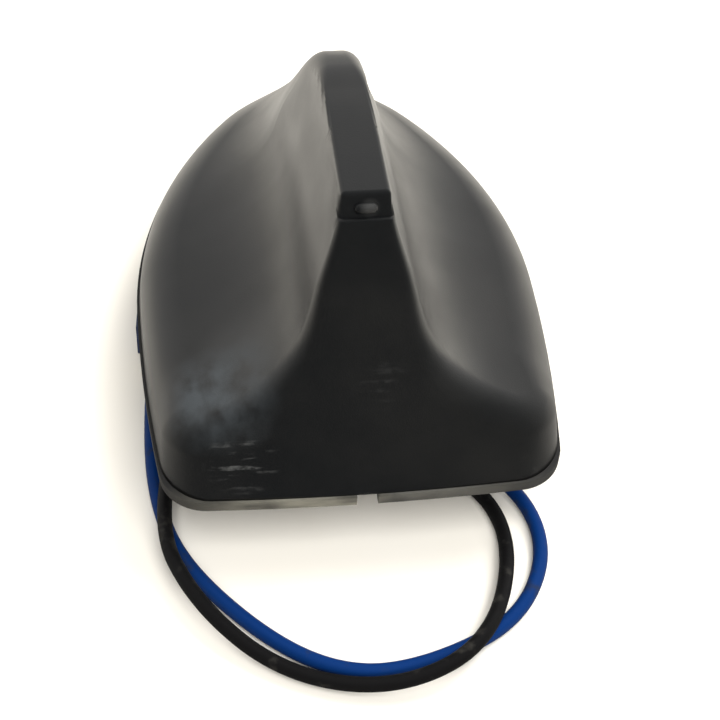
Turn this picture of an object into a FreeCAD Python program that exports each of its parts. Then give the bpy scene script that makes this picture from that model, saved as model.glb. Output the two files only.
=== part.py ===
import FreeCAD, Part
import math
import os
import Sketcher
from FreeCAD import Placement, Rotation, Vector

# Shark-fin roof antenna with two cable tails, in millimetres.
# The origin is the centre of the hole in the roof, on the roof's skin; +Y is the car's front, +Z is up.

doc = FreeCAD.newDocument("roof_antenna")
sheet = doc.addObject("Spreadsheet::Sheet", "Sizes")

# Sizes that are set by themselves
SIZES = {
    # Cover: its outline on the seal, the lean of its walls in degrees from upright, and its fin;
    # the rake is how far the nose draws in over the fin's height, as a share of the nose's reach
    "cover_length": 121.2,
    "cover_width": 84.6,
    "fin_height": 55.6,
    "hole_from_rear": 60.2,
    "rear_side_radius": 330.0,
    "cover_nose_radius": 25.35,
    "rear_bow_radius": 540.0,
    "rear_corner_radius": 9.0,
    "side_lean": 8.0,
    "nose_rake": 0.425,
    "rear_lean": 24.0,
    "front_radius_taper": 0.094,
    "corner_radius_taper": 0.031,
    "wall": 2.2,
    "fin_wall": 3.0,
    "shoulder_rear": 11.4,
    "shoulder_fall": 0.0383,
    "shoulder_round": 4.0,
    "ridge_round": 1.5,
    "ridge_half_width": 4.5,
    # Step and rib at the rear end of the ridge
    "step_width": 14.0,
    "step_height": 4.0,
    "step_depth": 1.2,
    "step_down": 2.2,
    "rib_length": 5.0,
    "rib_radius": 1.1,
    # Seals
    "seal_height": 2.4,
    "seal_lip": 0.5,
    "seal_band": 7.5,
    "notch_width": 4.2,
    "hole_seal_border": 5.5,
    # Base plate and its keyed spigot, with the chamber that the cables leave by
    "plate_gap": 0.25,
    "plate_thickness": 3.0,
    "spigot_length": 34.0,
    "spigot_width": 18.0,
    "spigot_round": 4.0,
    "spigot_drop": 7.0,
    "spigot_gap": 0.2,
    "spigot_wall": 3.0,
    "chamber_length": 11.0,
    "chamber_width": 12.0,
    "chamber_floor": 1.2,
    # Screws up through the plate and their posts in the cover
    "screw_from_rear": 24.2,
    "screw_from_nose": 28.0,
    "rear_screw_from_side": 13.3,
    "front_screw_from_side": 23.3,
    "screw_head_radius": 2.8,
    "screw_head_height": 1.7,
    "screw_shank_radius": 1.25,
    "screw_reach": 6.0,
    "screw_slack": 0.05,
    "screw_hole_radius": 1.6,
    "cover_post_radius": 3.2,
    "cover_post_rise": 8.0,
    # Claw, washer and bolt under the roof
    "bolt_forward": 8.0,
    "bolt_radius": 3.0,
    "bolt_head_flats": 10.0,
    "bolt_head_height": 4.0,
    "bolt_top": 2.0,
    "washer_radius": 7.0,
    "washer_thickness": 1.4,
    "claw_thickness": 1.2,
    "claw_length": 15.0,
    "claw_half_width": 15.5,
    "claw_top": 8.0,
    "claw_tip": 1.2,
    "claw_slack": 0.3,
    # Main board, its screws and what it carries
    "board_rise": 1.0,
    "board_thickness": 1.6,
    "board_from_side": 22.3,
    "board_from_rear": 14.2,
    "board_from_nose": 37.0,
    "board_post_radius": 3.0,
    "board_screw_inset": 4.0,
    "board_screw_end": 3.0,
    "board_screw_radius": 1.0,
    "board_screw_length": 4.4,
    "board_screw_head": 1.9,
    "board_screw_head_height": 1.2,
    "patch_side": 25.0,
    "patch_height": 4.0,
    "patch_from_front": 5.0,
    "can_edge": 2.0,
    "can_from_blade": 4.0,
    "can_from_rear": 8.0,
    "can_length": 16.0,
    "can_height": 3.2,
    "blade_thickness": 1.0,
    "blade_gap": 2.0,
    "blade_below_ridge": 11.0,
    "blade_from_wall": 4.8,
    # Grommet, cables and plugs
    "grommet_width": 11.0,
    "grommet_height": 5.2,
    "grommet_flange": 1.2,
    "grommet_flange_depth": 2.0,
    "cable_diameter": 3.0,
    "cable_sides": 10,
    "cable_side": 2.4,
    "cable_drop": 3.6,
    "crimp_radius": 2.2,
    "crimp_length": 8.0,
    "plug_width": 8.4,
    "plug_length": 13.0,
    "nose_radius": 3.3,
    "nose_length": 6.5,
    "nose_bore": 2.4,
    "contact_radius": 1.9,
    "contact_bore": 1.2,
    "contact_length": 5.5,
    "key_width": 2.2,
    "key_height": 0.9,
}

# Fin profile from the rear to the nose: share of the length, share of the height, and how far
# the foot of the hollow flank lies inside the cover's widest half
FIN_PROFILE = [
    (-0.130, 1.004, -1.7), (0.035, 1.005, -1.7), (0.200, 1.000, -1.7), (0.348, 0.989, -1.7), (0.464, 0.973, -1.7),
    (0.546, 0.950, -0.7), (0.612, 0.892, 0.8), (0.678, 0.773, 3.3), (0.761, 0.594, 7.8), (0.843, 0.410, 13.3),
    (0.926, 0.252, 20.3), (1.025, 0.173, 28.3),
]
# Hollow inside the fin, as level rectangles: share of the height, share of the half width, and distance from the nose
HOLLOW = [(0.074, 0.615, 31.0), (0.191, 0.449, 35.0), (0.353, 0.26, 55.0), (0.568, 0.123, 57.0), (0.910, 0.052, 63.0)]

# Sizes and places that follow from those
DERIVED = {
    "half_width": "cover_width / 2",
    "rear_reach": "hole_from_rear",
    "nose_reach": "cover_length - hole_from_rear",
    "widest_back": "rear_reach - 0.4307 * cover_length",
    "nose_slope": "nose_rake * nose_reach / fin_height",
    "front_reach": "nose_reach + widest_back",
    "front_side_radius": "(half_width ^ 2 + front_reach ^ 2 - 2 * front_reach * cover_nose_radius)"
                         " / (2 * (half_width - cover_nose_radius))",
    "loft_rise": "1.15 * fin_height",
    "block_half_width": "0.78 * cover_width",
    "block_depth": "seal_height + 0.6",
    "screw_back": "rear_reach - screw_from_rear",
    "screw_front": "nose_reach - screw_from_nose",
    "screw_side_rear": "half_width - rear_screw_from_side",
    "screw_side_front": "half_width - front_screw_from_side",
    "chamber_back": "spigot_length / 2 - spigot_wall",
    "grommet_face": "spigot_length / 2 + grommet_flange_depth",
    "board_half_width": "half_width - board_from_side",
    "board_back": "rear_reach - board_from_rear",
    "board_front": "nose_reach - board_from_nose",
    "board_screw_side": "board_half_width - board_screw_inset",
    "board_screw_back": "board_back - board_screw_end",
    "board_screw_front": "board_front - board_screw_end",
    "patch_centre": "board_front - patch_from_front - patch_side / 2",
    "can_width": "board_half_width - can_edge - can_from_blade",
    "can_side": "can_from_blade + can_width / 2",
    "can_back": "board_back - can_from_rear - can_length / 2",
    "blade_top": "seal_height + fin_height - blade_below_ridge",
    "blade_back_low": "board_back - blade_gap",
    "blade_back_high": "rear_reach - (blade_top - seal_height) * tan(rear_lean * 1 deg) - blade_from_wall",
    "blade_front": "patch_side / 2 - patch_centre + blade_gap",
}
for number, (share, high, inside) in enumerate(FIN_PROFILE):
    DERIVED[f"station_{number}"] = f"{share} * cover_length - rear_reach"
    DERIVED[f"ridge_{number}"] = f"{high} * fin_height"
    DERIVED[f"foot_{number}"] = f"half_width - {inside}"
for number, (share, half, from_nose) in enumerate(HOLLOW):
    DERIVED[f"hollow_level_{number}"] = f"seal_height + {share} * fin_height"
    DERIVED[f"hollow_half_{number}"] = f"{half} * half_width"
    DERIVED[f"hollow_back_{number}"] = f"rear_reach - {share} * fin_height * tan(rear_lean * 1 deg) - fin_wall"
    DERIVED[f"hollow_front_{number}"] = f"nose_reach - {from_nose}"

rows = [(name, str(value)) for name, value in SIZES.items()] + [(name, "=" + text) for name, text in DERIVED.items()]
for row, (name, content) in enumerate(rows, 1):
    sheet.set(f"A{row}", name)
    sheet.set(f"B{row}", content)
    sheet.setAlias(f"B{row}", name)
doc.recompute()
size = {name: float(sheet.get(name)) for name, content in rows}

parts = {}


def bind(thing, **expressions):
    """Tie properties to expressions on the sheet; a double underscore stands for a dot."""
    for name, text in expressions.items():
        thing.setExpression(name.replace("__", "."), text)
    return thing


def at(thing, x="0", y="0", z="0"):
    """Tie an object's place to expressions."""
    return bind(thing, Placement__Base__x=x, Placement__Base__y=y, Placement__Base__z=z)


def box(name, x, y, z, length, width, height):
    """A box standing on z, centred on x and y."""
    made = bind(doc.addObject("Part::Box", name), Length=length, Width=width, Height=height)
    return at(made, f"{x} - ({length}) / 2", f"{y} - ({width}) / 2", z)


def rod(name, x, y, z, radius, height):
    """An upright cylinder standing on z."""
    return at(bind(doc.addObject("Part::Cylinder", name), Radius=radius, Height=height), x, y, z)


def join(name, *things):
    made = doc.addObject("Part::MultiFuse", name)
    made.Shapes = list(things)
    return made


def cut(name, base, *tools):
    made = doc.addObject("Part::Cut", name)
    made.Base = base
    made.Tool = tools[0] if len(tools) == 1 else join(name + "_tools", *tools)
    return made


def common(name, first, second):
    made = doc.addObject("Part::Common", name)
    made.Base = first
    made.Tool = second
    return made


def keep(node, thing):
    """Name a finished piece; its node is also its label."""
    thing.Label = node
    parts[node] = thing
    return thing


def rounded_block(name, x, y, z, length, width, height, radius):
    """A box with its four upright edges rounded, drawn as a sketch and extruded up from z."""
    sketch = doc.addObject("Sketcher::SketchObject", name + "_outline")
    lx, ly, r = (value / 2 for value in (length[0], width[0], 2 * radius[0]))
    corners = [(lx - r, -ly + r, -90), (lx - r, ly - r, 0), (-lx + r, ly - r, 90), (-lx + r, -ly + r, 180)]
    shapes = []
    for cx, cy, start in corners:
        circle = Part.Circle(Vector(cx, cy, 0), Vector(0, 0, 1), r)
        shapes.append(Part.ArcOfCircle(circle, math.radians(start), math.radians(start + 90)))
    ends = [(shapes[i].EndPoint, shapes[(i + 1) % 4].StartPoint) for i in range(4)]
    sketch.addGeometry(shapes + [Part.LineSegment(a, b) for a, b in ends], False)
    rule = Sketcher.Constraint
    for i in range(4):
        sketch.addConstraint(rule("Tangent", i, 2, 4 + i, 1))
        sketch.addConstraint(rule("Tangent", 4 + i, 2, (i + 1) % 4, 1))
    sketch.addConstraint([rule("Vertical", 4), rule("Horizontal", 5), rule("Equal", 0, 1), rule("Equal", 0, 2),
                          rule("Equal", 0, 3), rule("Symmetric", 0, 3, 2, 3, -1, 1)])
    for label, constraint, text in (("r", rule("Radius", 0, r), radius[1]),
                                    ("half_x", rule("DistanceX", -1, 1, 0, 2, lx), f"({length[1]}) / 2"),
                                    ("half_y", rule("DistanceY", -1, 1, 1, 2, ly), f"({width[1]}) / 2")):
        number = sketch.addConstraint(constraint)
        sketch.renameConstraint(number, label)
        sketch.setExpression("Constraints." + label, text)
    at(sketch, x, y, z)
    made = doc.addObject("Part::Extrusion", name)
    made.Base = sketch
    made.DirMode = "Custom"
    made.Dir = Vector(0, 0, 1)
    made.Solid = True
    return bind(made, LengthFwd=height)


# Cover outline: eight arcs, each tangent to the next

def total(names):
    """The sum of named sizes as a number and as an expression; a leading minus takes one away."""
    number = sum(-size[n[1:]] if n.startswith("-") else size[n] for n in names)
    text = " ".join(("- Sizes." + n[1:]) if n.startswith("-") else ("+ Sizes." + n) for n in names)
    return number, f"(0 {text})"


def outline(name, height, rise=(), inset=()):
    """The cover's outline at a height, drawn in by the inset and by the lean of the walls over the rise."""
    up, up_text = total(rise)
    inward, inward_text = total(inset)
    slope = {lean: math.tan(math.radians(size[lean])) for lean in ("side_lean", "rear_lean")}
    half = size["half_width"] - inward - up * slope["side_lean"]
    back = size["widest_back"]
    side_rear = size["rear_side_radius"]
    side_front = size["front_side_radius"] - inward - up * size["front_radius_taper"]
    bow = size["rear_bow_radius"]
    corner = size["rear_corner_radius"] - inward + up * size["corner_radius_taper"]
    nose = size["nose_reach"] - inward - up * size["nose_slope"]
    rear = size["rear_reach"] - inward - up * slope["rear_lean"]
    half_text = f"(Sizes.half_width - {inward_text} - {up_text} * tan(Sizes.side_lean * 1 deg))"
    front_text = f"(Sizes.front_side_radius - {inward_text} - {up_text} * Sizes.front_radius_taper)"
    corner_text = f"(Sizes.rear_corner_radius - {inward_text} + {up_text} * Sizes.corner_radius_taper)"
    reach_text = f"(Sizes.nose_reach - {inward_text} - {up_text} * Sizes.nose_slope + Sizes.widest_back)"
    rear_text = f"(Sizes.rear_reach - {inward_text} - {up_text} * tan(Sizes.rear_lean * 1 deg))"
    nose_text = (f"({front_text} ^ 2 - ({front_text} - {half_text}) ^ 2 - {reach_text} ^ 2)"
                 f" / (2 * ({front_text} - {reach_text}))")
    reach = nose + back
    nose_radius = (side_front ** 2 - (side_front - half) ** 2 - reach ** 2) / (2 * (side_front - reach))

    wide = Vector(half, -back, 0)
    front_centre = Vector(half - side_front, -back, 0)
    rear_centre = Vector(half - side_rear, -back, 0)
    nose_centre = Vector(0, nose - nose_radius, 0)
    bow_centre = Vector(0, bow - rear, 0)
    nose_joint = front_centre + (nose_centre - front_centre).normalize() * side_front
    along = bow_centre - rear_centre
    apart = along.Length
    along.normalize()
    reach_a = side_rear - corner
    reach_b = bow - corner
    forward = (reach_a ** 2 - reach_b ** 2 + apart ** 2) / (2 * apart)
    aside = math.sqrt(reach_a ** 2 - forward ** 2)
    across = Vector(-along.y, along.x, 0)
    corner_centre = min((rear_centre + along * forward + across * s * aside for s in (1, -1)), key=lambda p: p.y)
    side_joint = rear_centre + (corner_centre - rear_centre).normalize() * side_rear
    bow_joint = bow_centre + (corner_centre - bow_centre).normalize() * bow

    def mirrored(point):
        return Vector(-point.x, point.y, 0)

    def arc(centre, radius, start, end):
        first = math.atan2(start.y - centre.y, start.x - centre.x)
        last = math.atan2(end.y - centre.y, end.x - centre.x)
        last += 2 * math.pi if last < first else 0
        return Part.ArcOfCircle(Part.Circle(centre, Vector(0, 0, 1), radius), first, last)

    sketch = doc.addObject("Sketcher::SketchObject", name)
    sketch.addGeometry([
        arc(bow_centre, bow, mirrored(bow_joint), bow_joint), arc(corner_centre, corner, bow_joint, side_joint),
        arc(rear_centre, side_rear, side_joint, wide), arc(front_centre, side_front, wide, nose_joint),
        arc(nose_centre, nose_radius, nose_joint, mirrored(nose_joint)),
        arc(mirrored(front_centre), side_front, mirrored(nose_joint), mirrored(wide)),
        arc(mirrored(rear_centre), side_rear, mirrored(wide), mirrored(side_joint)),
        arc(mirrored(corner_centre), corner, mirrored(side_joint), mirrored(bow_joint)),
    ], False)
    rule = Sketcher.Constraint
    for i in range(8):
        sketch.addConstraint(rule("Tangent", i, 2, (i + 1) % 8, 1))
    sketch.addConstraint([rule("PointOnObject", 0, 3, -2), rule("PointOnObject", 4, 3, -2),
                          rule("Symmetric", 2, 2, 5, 2, -2), rule("Horizontal", 2, 3, 2, 2), rule("Equal", 2, 6),
                          rule("Equal", 3, 5), rule("Equal", 1, 7)])
    for label, constraint, text in (
            ("half", rule("DistanceX", -1, 1, 2, 2, half), half_text),
            ("back", rule("DistanceY", 2, 2, -1, 1, back), "Sizes.widest_back"),
            ("side_rear", rule("Radius", 2, side_rear), "Sizes.rear_side_radius"),
            ("side_front", rule("Radius", 3, side_front), front_text),
            ("corner", rule("Radius", 1, corner), corner_text),
            ("bow", rule("Radius", 0, bow), "Sizes.rear_bow_radius"),
            ("bow_centre", rule("DistanceY", -1, 1, 0, 3, bow - rear), f"Sizes.rear_bow_radius - {rear_text}"),
            ("nose", rule("Radius", 4, nose_radius), nose_text)):
        number = sketch.addConstraint(constraint)
        sketch.renameConstraint(number, label)
        sketch.setExpression("Constraints." + label, text)
    at(sketch, z=height)
    return sketch


def walls(name, inset=()):
    """A leaning prism between the outline at the seal and the same outline high above it."""
    low = outline(name + "_low", "Sizes.seal_height", (), inset)
    high = outline(name + "_high", "Sizes.seal_height + Sizes.loft_rise", ("loft_rise",), inset)
    made = doc.addObject("Part::Loft", name)
    made.Sections = [low, high]
    made.Solid = True
    made.Ruled = True
    return made


# Fin cover: the leaning walls, topped by a block lofted through the fin's cross-sections

def fin_section(number):
    """One cross-section: a level shoulder, a hollow flank tangent to it, and a flat ridge."""
    name = f"fin_section_{number}"
    y, high, foot = (size[f"{key}_{number}"] for key in ("station", "ridge", "foot"))
    shoulder = size["seal_height"] + size["shoulder_rear"] - (y + size["rear_reach"]) * size["shoulder_fall"]
    high += size["seal_height"]
    half, wide, deep = size["ridge_half_width"], size["block_half_width"], size["block_depth"]
    radius = ((foot - half) ** 2 + (high - shoulder) ** 2) / (2 * (high - shoulder))
    right = Part.Circle(Vector(foot, shoulder + radius, 0), Vector(0, 0, 1), radius)
    left = Part.Circle(Vector(-foot, shoulder + radius, 0), Vector(0, 0, 1), radius)
    turn = math.atan2(high - shoulder - radius, half - foot) % (2 * math.pi)
    points = [Vector(x, z, 0) for x, z in ((-wide, -deep), (wide, -deep), (wide, shoulder), (foot, shoulder),
                                           (half, high), (-half, high), (-foot, shoulder), (-wide, shoulder))]
    sketch = doc.addObject("Sketcher::SketchObject", name)
    sketch.addGeometry([
        Part.LineSegment(points[0], points[1]), Part.LineSegment(points[1], points[2]),
        Part.LineSegment(points[2], points[3]), Part.ArcOfCircle(right, turn, 1.5 * math.pi),
        Part.LineSegment(points[4], points[5]), Part.ArcOfCircle(left, 1.5 * math.pi, 3 * math.pi - turn),
        Part.LineSegment(points[6], points[7]), Part.LineSegment(points[7], points[0]),
    ], False)
    rule = Sketcher.Constraint
    sketch.addConstraint([
        rule("Coincident", 0, 2, 1, 1), rule("Coincident", 1, 2, 2, 1), rule("Tangent", 2, 2, 3, 2),
        rule("Coincident", 3, 1, 4, 1), rule("Coincident", 4, 2, 5, 2), rule("Tangent", 5, 1, 6, 1),
        rule("Coincident", 6, 2, 7, 1), rule("Coincident", 7, 2, 0, 1), rule("Horizontal", 2), rule("Horizontal", 6),
        rule("Vertical", 1), rule("Vertical", 7), rule("Symmetric", 0, 1, 0, 2, -2),
        rule("Symmetric", 4, 1, 4, 2, -2), rule("Symmetric", 2, 2, 6, 1, -2)])
    shoulder_text = (f"Sizes.seal_height + Sizes.shoulder_rear"
                     f" - (Sizes.station_{number} + Sizes.rear_reach) * Sizes.shoulder_fall")
    for label, constraint, text in (
            ("wide", rule("DistanceX", -1, 1, 1, 2, wide), "Sizes.block_half_width"),
            ("deep", rule("DistanceY", 0, 2, -1, 1, deep), "Sizes.block_depth"),
            ("shoulder", rule("DistanceY", -1, 1, 2, 1, shoulder), shoulder_text),
            ("foot", rule("DistanceX", -1, 1, 2, 2, foot), f"Sizes.foot_{number}"),
            ("half", rule("DistanceX", -1, 1, 4, 1, half), "Sizes.ridge_half_width"),
            ("high", rule("DistanceY", -1, 1, 4, 1, high), f"Sizes.seal_height + Sizes.ridge_{number}")):
        index = sketch.addConstraint(constraint)
        sketch.renameConstraint(index, label)
        sketch.setExpression("Constraints." + label, text)
    sketch.Placement = Placement(Vector(0, y, 0), Rotation(Vector(1, 0, 0), 90))
    return bind(sketch, Placement__Base__y=f"Sizes.station_{number}")


cover_walls = walls("cover_walls")
fin_block = doc.addObject("Part::Loft", "fin_block")
fin_block.Sections = [fin_section(number) for number in range(len(FIN_PROFILE))]
fin_block.Solid = True
cover_form = common("cover_form", cover_walls, fin_block)
doc.recompute()


def crease(shape, edge):
    """The angle in degrees between the two faces that meet along an edge."""
    middle = edge.valueAt((edge.FirstParameter + edge.LastParameter) / 2)
    normals = [face.normalAt(*face.Surface.parameter(middle)) for face in shape.ancestorsOfType(edge, Part.Face)]
    return math.degrees(normals[0].getAngle(normals[1])) if len(normals) == 2 else 0


# Round the shoulder all the way round; the rear edges of the fin sharpen towards the ridge, which stays crisp
rounded = doc.addObject("Part::Fillet", "cover_rounded")
rounded.Base = cover_form
shoulder_edges = []
ridge_level = size["seal_height"] + 0.9 * size["fin_height"]
for number, edge in enumerate(cover_form.Shape.Edges, 1):
    reach = edge.BoundBox
    ends = [edge.valueAt(edge.FirstParameter), edge.valueAt(edge.LastParameter)]
    low_edge = reach.ZMax < size["seal_height"] + 1.6 * size["shoulder_rear"]
    rear_edge = reach.YMax < 0 and min(end.z for end in ends) < ridge_level < max(end.z for end in ends)
    if reach.ZMin < size["seal_height"] + 0.5 or crease(cover_form.Shape, edge) < 12 or not (low_edge or rear_edge):
        continue
    at_ridge = [abs(end.x) < 1.01 * size["ridge_half_width"] for end in ends]
    shoulder_edges.append((number, *(size["ridge_round"] if end else size["shoulder_round"] for end in at_ridge)))
rounded.Edges = shoulder_edges

# Hollow of the cover: a tray under the sloping shoulder, and a tapering room inside the fin
tray_walls = walls("tray_walls", ("wall",))
tray_top = bind(doc.addObject("Part::Box", "tray_top"), Length="2 * Sizes.block_half_width",
                Width="2.4 * Sizes.rear_reach", Height="20")
tray_top.Placement = Placement(Vector(0, 0, 0), Rotation(Vector(1, 0, 0), -math.degrees(math.atan(size["shoulder_fall"]))))
at(tray_top, "-Sizes.block_half_width", "-1.1 * Sizes.rear_reach",
   "Sizes.seal_height + Sizes.shoulder_rear - Sizes.wall - 20 + 0.1 * Sizes.rear_reach * Sizes.shoulder_fall")
tray = common("tray", tray_walls, tray_top)


def hollow_level(number):
    """One level rectangle of the hollow inside the fin."""
    name = f"hollow_{number}"
    made = doc.addObject("Part::Plane", name)
    bind(made, Length=f"2 * Sizes.hollow_half_{number}", Width=f"Sizes.hollow_back_{number} + Sizes.hollow_front_{number}")
    return at(made, f"-Sizes.hollow_half_{number}", f"-Sizes.hollow_back_{number}", f"Sizes.hollow_level_{number}")


fin_room = doc.addObject("Part::Loft", "fin_room")
fin_room.Sections = [hollow_level(number) for number in range(len(HOLLOW))]
fin_room.Solid = True
fin_room.Ruled = True

# Step and rib at the rear end of the ridge, set square to the leaning rear face
step_back = "Sizes.rear_reach - (Sizes.ridge_2) * tan(Sizes.rear_lean * 1 deg)"
step = bind(doc.addObject("Part::Box", "step"), Length="Sizes.step_width", Width="4 * Sizes.step_depth",
            Height="4 * Sizes.step_height")
step.Placement = Placement(Vector(0, 0, 0), Rotation(Vector(1, 0, 0), -size["rear_lean"]))
at(step, "-Sizes.step_width / 2",
   f"-({step_back}) - Sizes.step_height * sin(Sizes.rear_lean * 1 deg) - 3 * Sizes.step_depth * cos(Sizes.rear_lean * 1 deg)",
   "Sizes.seal_height + Sizes.ridge_2 - Sizes.step_height * cos(Sizes.rear_lean * 1 deg)"
   " + 3 * Sizes.step_depth * sin(Sizes.rear_lean * 1 deg)")
rib = bind(doc.addObject("Part::Cylinder", "rib"), Radius="Sizes.rib_radius", Height="Sizes.rib_length")
rib.Placement = Placement(Vector(0, 0, 0), Rotation(Vector(0, 1, 0), 90))
at(rib, "-Sizes.rib_length / 2",
   f"-({step_back}) - Sizes.step_down * sin(Sizes.rear_lean * 1 deg) + Sizes.step_depth * cos(Sizes.rear_lean * 1 deg)",
   "Sizes.seal_height + Sizes.ridge_2 - Sizes.step_down * cos(Sizes.rear_lean * 1 deg)"
   " - Sizes.step_depth * sin(Sizes.rear_lean * 1 deg)")

# Posts in the cover take the four screws that come up through the base plate
SCREWS = [("rear_right", "Sizes.screw_side_rear", "-Sizes.screw_back"),
          ("rear_left", "-Sizes.screw_side_rear", "-Sizes.screw_back"),
          ("front_right", "Sizes.screw_side_front", "Sizes.screw_front"),
          ("front_left", "-Sizes.screw_side_front", "Sizes.screw_front")]
plate_top = "Sizes.seal_height + Sizes.plate_thickness"
posts = [rod(f"post_{name}", x, y, plate_top, "Sizes.cover_post_radius", "Sizes.cover_post_rise")
         for name, x, y in SCREWS]
pilots = [rod(f"pilot_{name}", x, y, "Sizes.seal_height", "Sizes.screw_shank_radius + Sizes.screw_slack",
              "Sizes.screw_reach + 0.2") for name, x, y in SCREWS]
posts_inside = common("posts_inside", join("posts", *posts), cover_form)
hollow_cover = cut("hollow_cover", rounded, tray, fin_room, step)
cover = cut("cover_shape", join("cover_with_posts", hollow_cover, posts_inside, rib), *pilots)
keep("cover", cover)

# Base plate: fills the cover's mouth, with a keyed spigot below and posts for the main board above
plate_walls = walls("plate_walls", ("wall", "plate_gap"))
plate_slab = box("plate_slab", "0", "0", "Sizes.seal_height", "2 * Sizes.block_half_width", "2.4 * Sizes.rear_reach",
                 "Sizes.plate_thickness")
plate = common("plate", plate_walls, plate_slab)
spigot = rounded_block("spigot", "0", "0", "-Sizes.spigot_drop", (size["spigot_width"], "Sizes.spigot_width"),
                       (size["spigot_length"], "Sizes.spigot_length"), "Sizes.spigot_drop + Sizes.seal_height + 1",
                       (size["spigot_round"], "Sizes.spigot_round"))
BOARD_SCREWS = [("rear", "-Sizes.board_screw_side", "-Sizes.board_screw_back"),
                ("front", "Sizes.board_screw_side", "Sizes.board_screw_front")]
BOARD_POSTS = BOARD_SCREWS + [("rear_plain", "Sizes.board_screw_side", "-Sizes.board_screw_back"),
                              ("front_plain", "-Sizes.board_screw_side", "Sizes.board_screw_front")]
board_posts = [rod(f"board_post_{name}", x, y, plate_top + " - 1", "Sizes.board_post_radius", "Sizes.board_rise + 1")
               for name, x, y in BOARD_POSTS]
chamber = box("chamber", "0", "-Sizes.chamber_back + Sizes.chamber_length / 2", "-Sizes.spigot_drop + Sizes.chamber_floor",
              "Sizes.chamber_width", "Sizes.chamber_length",
              "Sizes.spigot_drop - Sizes.chamber_floor + Sizes.seal_height + Sizes.plate_thickness + 1")
grommet_hole = box("grommet_hole", "0", "-Sizes.chamber_back - 3", "-Sizes.cable_drop - Sizes.grommet_height / 2",
                   "Sizes.grommet_width", "8", "Sizes.grommet_height")
bolt_hole = rod("bolt_hole", "0", "Sizes.bolt_forward", "-Sizes.spigot_drop - 1", "Sizes.bolt_radius",
                "1 + Sizes.spigot_drop - Sizes.bolt_top + 0.4")
plate_holes = [rod(f"plate_hole_{name}", x, y, "0", "Sizes.screw_hole_radius", "Sizes.seal_height + Sizes.plate_thickness + 1")
               for name, x, y in SCREWS]
board_pilots = [rod(f"board_pilot_{name}", x, y, "Sizes.seal_height + 0.6", "Sizes.board_screw_radius + Sizes.screw_slack",
                    "Sizes.plate_thickness + Sizes.board_rise") for name, x, y in BOARD_SCREWS]
keep("base_plate", cut("base_plate_shape", join("base_plate_solid", plate, spigot, *board_posts), chamber, grommet_hole,
                       bolt_hole, *plate_holes, *board_pilots))


# Rim seal: a soft band under the cover's edge, open at one narrow drain notch in the rear
def slab(name, inset, height):
    made = doc.addObject("Part::Extrusion", name)
    made.Base = outline(name + "_outline", "0", (), inset)
    made.DirMode = "Custom"
    made.Dir = Vector(0, 0, 1)
    made.Solid = True
    return bind(made, LengthFwd=height)


seal_outer = slab("seal_outer", ("-seal_lip",), "Sizes.seal_height")
seal_inner = slab("seal_inner", ("seal_band",), "Sizes.seal_height")
notch = box("notch", "0", "-Sizes.rear_reach", "-1", "Sizes.notch_width", "3 * Sizes.seal_band",
            "Sizes.seal_height + 2")
keep("rim_seal", cut("rim_seal_shape", seal_outer, seal_inner, notch))

# Hole seal: a flat ring round the spigot
ring_outer = rounded_block(
    "ring_outer", "0", "0", "0",
    (size["spigot_width"] + 2 * size["hole_seal_border"], "Sizes.spigot_width + 2 * Sizes.hole_seal_border"),
    (size["spigot_length"] + 2 * size["hole_seal_border"], "Sizes.spigot_length + 2 * Sizes.hole_seal_border"),
    "Sizes.seal_height", (size["spigot_round"] + size["hole_seal_border"], "Sizes.spigot_round + Sizes.hole_seal_border"))
ring_inner = rounded_block(
    "ring_inner", "0", "0", "-1", (size["spigot_width"] + 2 * size["spigot_gap"], "Sizes.spigot_width + 2 * Sizes.spigot_gap"),
    (size["spigot_length"] + 2 * size["spigot_gap"], "Sizes.spigot_length + 2 * Sizes.spigot_gap"),
    "Sizes.seal_height + 2", (size["spigot_round"] + size["spigot_gap"], "Sizes.spigot_round + Sizes.spigot_gap"))
keep("hole_seal", cut("hole_seal_shape", ring_outer, ring_inner))

# Cover screws: pan heads under the plate
screws = []
for name, x, y in SCREWS:
    head = rod(f"head_{name}", x, y, "Sizes.seal_height - Sizes.screw_head_height", "Sizes.screw_head_radius",
               "Sizes.screw_head_height")
    shank = rod(f"shank_{name}", x, y, "Sizes.seal_height - 0.5", "Sizes.screw_shank_radius", "Sizes.screw_reach + 0.5")
    screws += [head, shank]
keep("cover_screws", join("cover_screws_shape", *screws))

# Roof claw: a sheet plate with two upturned prongs that bite the underside of the roof
claw_plate = box("claw_plate", "0", "Sizes.bolt_forward", "-Sizes.claw_top - Sizes.claw_thickness",
                 "2 * Sizes.claw_half_width", "Sizes.claw_length", "Sizes.claw_thickness")
prongs = [box(f"prong_{name}", f"{sign} (Sizes.claw_half_width - Sizes.claw_thickness / 2)", "Sizes.bolt_forward",
              "-Sizes.claw_top - Sizes.claw_thickness", "Sizes.claw_thickness", "Sizes.claw_length",
              "Sizes.claw_top + Sizes.claw_thickness - Sizes.claw_tip") for name, sign in (("right", "1 *"), ("left", "-1 *"))]
gaps = [box(f"prong_gap_{name}", f"{sign} Sizes.claw_half_width", "Sizes.bolt_forward", "-Sizes.claw_top + 2",
            "4 * Sizes.claw_thickness", "Sizes.claw_length / 3", "Sizes.claw_top") for name, sign in (("right", "1 *"), ("left", "-1 *"))]
claw_hole = rod("claw_hole", "0", "Sizes.bolt_forward", "-2 * Sizes.claw_top", "Sizes.bolt_radius + Sizes.claw_slack",
                "2 * Sizes.claw_top")
keep("roof_claw", cut("roof_claw_shape", join("claw_solid", claw_plate, *prongs), *gaps, claw_hole))

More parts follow.
